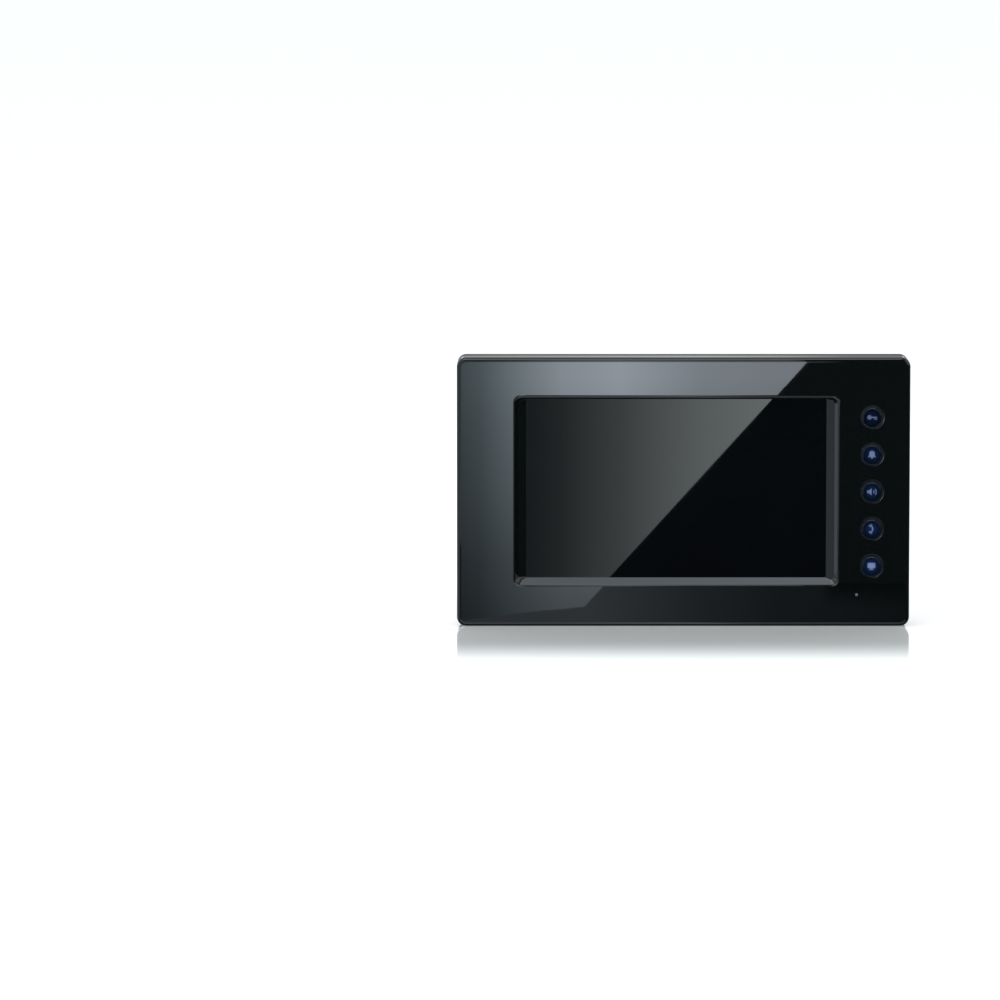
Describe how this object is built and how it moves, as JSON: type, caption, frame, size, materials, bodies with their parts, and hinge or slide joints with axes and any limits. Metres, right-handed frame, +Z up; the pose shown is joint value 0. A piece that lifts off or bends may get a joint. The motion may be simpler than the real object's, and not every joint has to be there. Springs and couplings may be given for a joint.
{
  "type": "video intercom monitor",
  "caption": "Wall-hung indoor video intercom monitor: black two-shell casing with a sunk wide screen, a column of round lit push keys and a hook-on wall plate.",
  "frame": {"origin": "middle of the wall plate's four-screw pattern, on the wall's surface", "axes": "+X to the right as seen from the front, +Y into the wall (the screen faces -Y), +Z up"},
  "size_m": [0.23, 0.0252, 0.1374],
  "materials": {
    "gloss_black": "piano-black moulded ABS, polished",
    "window": "clear hard-coated acrylic, smoked",
    "foam": "black closed-cell foam",
    "display_glass": "dark display cell behind a polariser film",
    "display_tray": "pale backlight tray",
    "spring_steel": "bright pressed steel",
    "screw_steel": "zinc-plated steel",
    "black_screw": "black-oxide steel",
    "flex_film": "amber polyimide film",
    "matte_black": "spark-eroded moulded ABS",
    "board": "green solder mask on glass-epoxy",
    "chip_black": "moulded epoxy",
    "capacitor_can": "drawn aluminium can",
    "ferrite": "pressed ferrite",
    "terminal_green": "green moulded nylon",
    "header_white": "off-white moulded nylon",
    "ribbon_grey": "grey flat cable",
    "switch_black": "black moulded nylon",
    "light_chip": "light-emitting diode packages",
    "light_guide": "frosted translucent acrylic, softly lit",
    "clear_pipe": "clear polycarbonate light pipe",
    "steel_can": "drawn can",
    "boot_rubber": "black silicone rubber",
    "lead_red": "red insulated leads",
    "speaker_steel": "pressed zinc-plated steel",
    "speaker_paper": "doped paper cone",
    "magnet_grey": "plated magnet cup",
    "label": "blank matt foil label",
    "key_black": "gloss moulded acrylic, blue-black, lit from behind",
    "key_symbol": "translucent diffusing acrylic, lit pale blue",
    "plunger": "natural moulded acetal",
    "plate_steel": "galvanised pressed steel sheet"
  },
  "bodies": {
    "wall_plate": {"wall_plate": "plate_steel"},
    "monitor": {"front_shell": "gloss_black", "screen_frame": "gloss_black", "screen_window": "window", "window_gasket": "foam", "display_cell": "display_glass", "backlight_tray": "display_tray", "display_clips": "spring_steel", "clip_screws": "screw_steel", "display_flex": "flex_film", "rear_cover": "matte_black", "case_screws": "black_screw", "main_board": "board", "board_screws": "screw_steel", "video_processor": "chip_black", "line_chips": "chip_black", "capacitors": "capacitor_can", "choke": "ferrite", "door_header": "terminal_green", "power_header": "header_white", "flex_connector": "header_white", "ribbon_headers": "header_white", "key_ribbon": "ribbon_grey", "speaker_header": "header_white", "key_board": "board", "key_board_screws": "screw_steel", "key_switches": "switch_black", "key_lights": "light_chip", "key_light_guide": "light_guide", "status_light": "light_chip", "status_pipe": "clear_pipe", "microphone": "steel_can", "microphone_boot": "boot_rubber", "microphone_leads": "lead_red", "speaker_gasket": "foam", "speaker_basket": "speaker_steel", "speaker_cone": "speaker_paper", "speaker_magnet": "magnet_grey", "speaker_screws": "screw_steel", "speaker_leads": "lead_red", "blank_label": "label"},
    "unlock_key": {"unlock_cap": "key_black", "unlock_insert": "key_symbol", "unlock_plunger": "plunger"},
    "bell_key": {"bell_cap": "key_black", "bell_insert": "key_symbol", "bell_plunger": "plunger"},
    "talk_key": {"talk_cap": "key_black", "talk_insert": "key_symbol", "talk_plunger": "plunger"},
    "handset_key": {"handset_cap": "key_black", "handset_insert": "key_symbol", "handset_plunger": "plunger"},
    "monitor_key": {"monitor_cap": "key_black", "monitor_insert": "key_symbol", "monitor_plunger": "plunger"}
  },
  "joints": [
    {"name": "lift_off", "type": "slide", "parent": "wall_plate", "child": "monitor", "axis": [0, 0, 1], "range_m": [0, 0.0066]},
    {"name": "unlock_press", "type": "slide", "parent": "monitor", "child": "unlock_key", "axis": [0, 1, 0], "range_m": [0, 0.0006], "stiffness_N_per_m": 1500, "springref_m": -0.0004},
    {"name": "bell_press", "type": "slide", "parent": "monitor", "child": "bell_key", "axis": [0, 1, 0], "range_m": [0, 0.0006], "stiffness_N_per_m": 1500, "springref_m": -0.0004},
    {"name": "talk_press", "type": "slide", "parent": "monitor", "child": "talk_key", "axis": [0, 1, 0], "range_m": [0, 0.0006], "stiffness_N_per_m": 1500, "springref_m": -0.0004},
    {"name": "handset_press", "type": "slide", "parent": "monitor", "child": "handset_key", "axis": [0, 1, 0], "range_m": [0, 0.0006], "stiffness_N_per_m": 1500, "springref_m": -0.0004},
    {"name": "monitor_press", "type": "slide", "parent": "monitor", "child": "monitor_key", "axis": [0, 1, 0], "range_m": [0, 0.0006], "stiffness_N_per_m": 1500, "springref_m": -0.0004}
  ]
}
